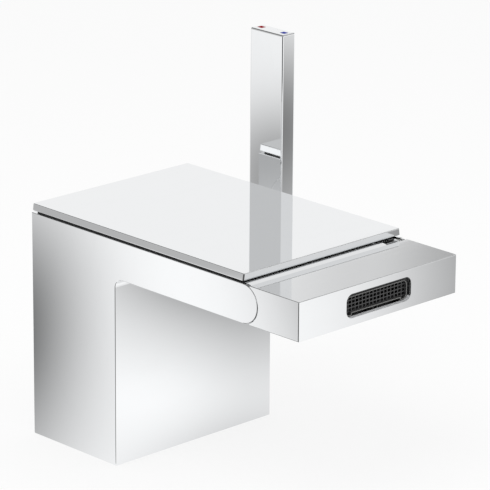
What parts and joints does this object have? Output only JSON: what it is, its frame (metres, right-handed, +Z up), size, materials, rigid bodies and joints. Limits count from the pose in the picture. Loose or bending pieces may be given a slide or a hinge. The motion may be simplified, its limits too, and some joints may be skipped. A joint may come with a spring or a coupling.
{
  "type": "bidet mixer",
  "caption": "Deck-mounted bidet mixer: square column with a long flat arm, cover plate, tilting spout block with aerator, and an upright joystick lever on its side.",
  "frame": {"origin": "centre of the column's foot on the deck, on the line of the tap hole", "axes": "+Z up, the spout points to -Y, and the lever stands on the +X side"},
  "size_m": [0.1323, 0.178, 0.182],
  "materials": {
    "chrome": "polished",
    "plate_chrome": "mirror polished",
    "carrier_black": "matt",
    "brass": "machined",
    "copper_tube": "drawn",
    "steel": "bright",
    "rubber": "smooth",
    "cartridge_plastic": "moulded",
    "ceramic": "lapped",
    "bearing_plastic": "moulded",
    "aerator_black": "moulded",
    "stem_steel": "ground",
    "cap_plastic": "chrome-coloured",
    "hot_red": "gloss",
    "cold_blue": "gloss"
  },
  "bodies": {
    "base": {"body_shell": "chrome", "top_plate": "plate_chrome", "plate_carrier": "carrier_black", "plate_clips": "steel", "base_plate": "brass", "base_gasket": "rubber", "base_screws": "steel", "manifold_screws": "steel", "waterway_block": "brass", "spout_tube": "copper_tube", "feed_elbow": "chrome", "elbow_screws": "steel", "collar_clip": "steel", "spigot_rings": "rubber", "cartridge_seals": "rubber", "cartridge_base": "cartridge_plastic", "fixed_disc": "ceramic", "cartridge_housing": "cartridge_plastic", "cartridge_nut": "brass", "glide_ring": "bearing_plastic"},
    "spout": {"spout_block": "chrome", "swivel_barrel": "chrome", "barrel_bushes": "bearing_plastic", "tongue_ring": "rubber", "tongue_screws": "steel", "flow_limiter": "bearing_plastic", "aerator_frame": "aerator_black", "aerator_mesh": "aerator_black", "jet_plate": "bearing_plastic", "aerator_seal": "rubber"},
    "rotor": {"rosette": "chrome", "cartridge_rotor": "cartridge_plastic", "stem_pin": "steel"},
    "handle": {"lever": "chrome", "lever_stem": "stem_steel", "lever_screw": "steel", "lever_screw_cap": "cap_plastic", "hot_mark": "hot_red", "cold_mark": "cold_blue"},
    "valve_disc": {"moving_disc": "ceramic", "disc_driver": "cartridge_plastic"}
  },
  "joints": [
    {"name": "spout_tilt", "type": "hinge", "parent": "base", "child": "spout", "pos_m": [0, -0.11385, 0.1012], "axis": [1, 0, 0], "range_deg": [-18, 18]},
    {"name": "lever_temperature", "type": "hinge", "parent": "base", "child": "rotor", "pos_m": [0, 0, 0.083], "axis": [1, 0, 0], "range_deg": [-45, 45]},
    {"name": "lever_flow", "type": "hinge", "parent": "rotor", "child": "handle", "pos_m": [0.041, 0, 0.083], "axis": [0, 1, 0], "range_deg": [0, 20]},
    {"name": "disc_slide", "type": "slide", "parent": "rotor", "child": "valve_disc", "axis": [0, 0, 1], "range_m": [0, 0.00468]}
  ],
  "couplings": [
    {"joint": "disc_slide", "follows": "lever_flow", "m_per_rad": 0.013325}
  ]
}
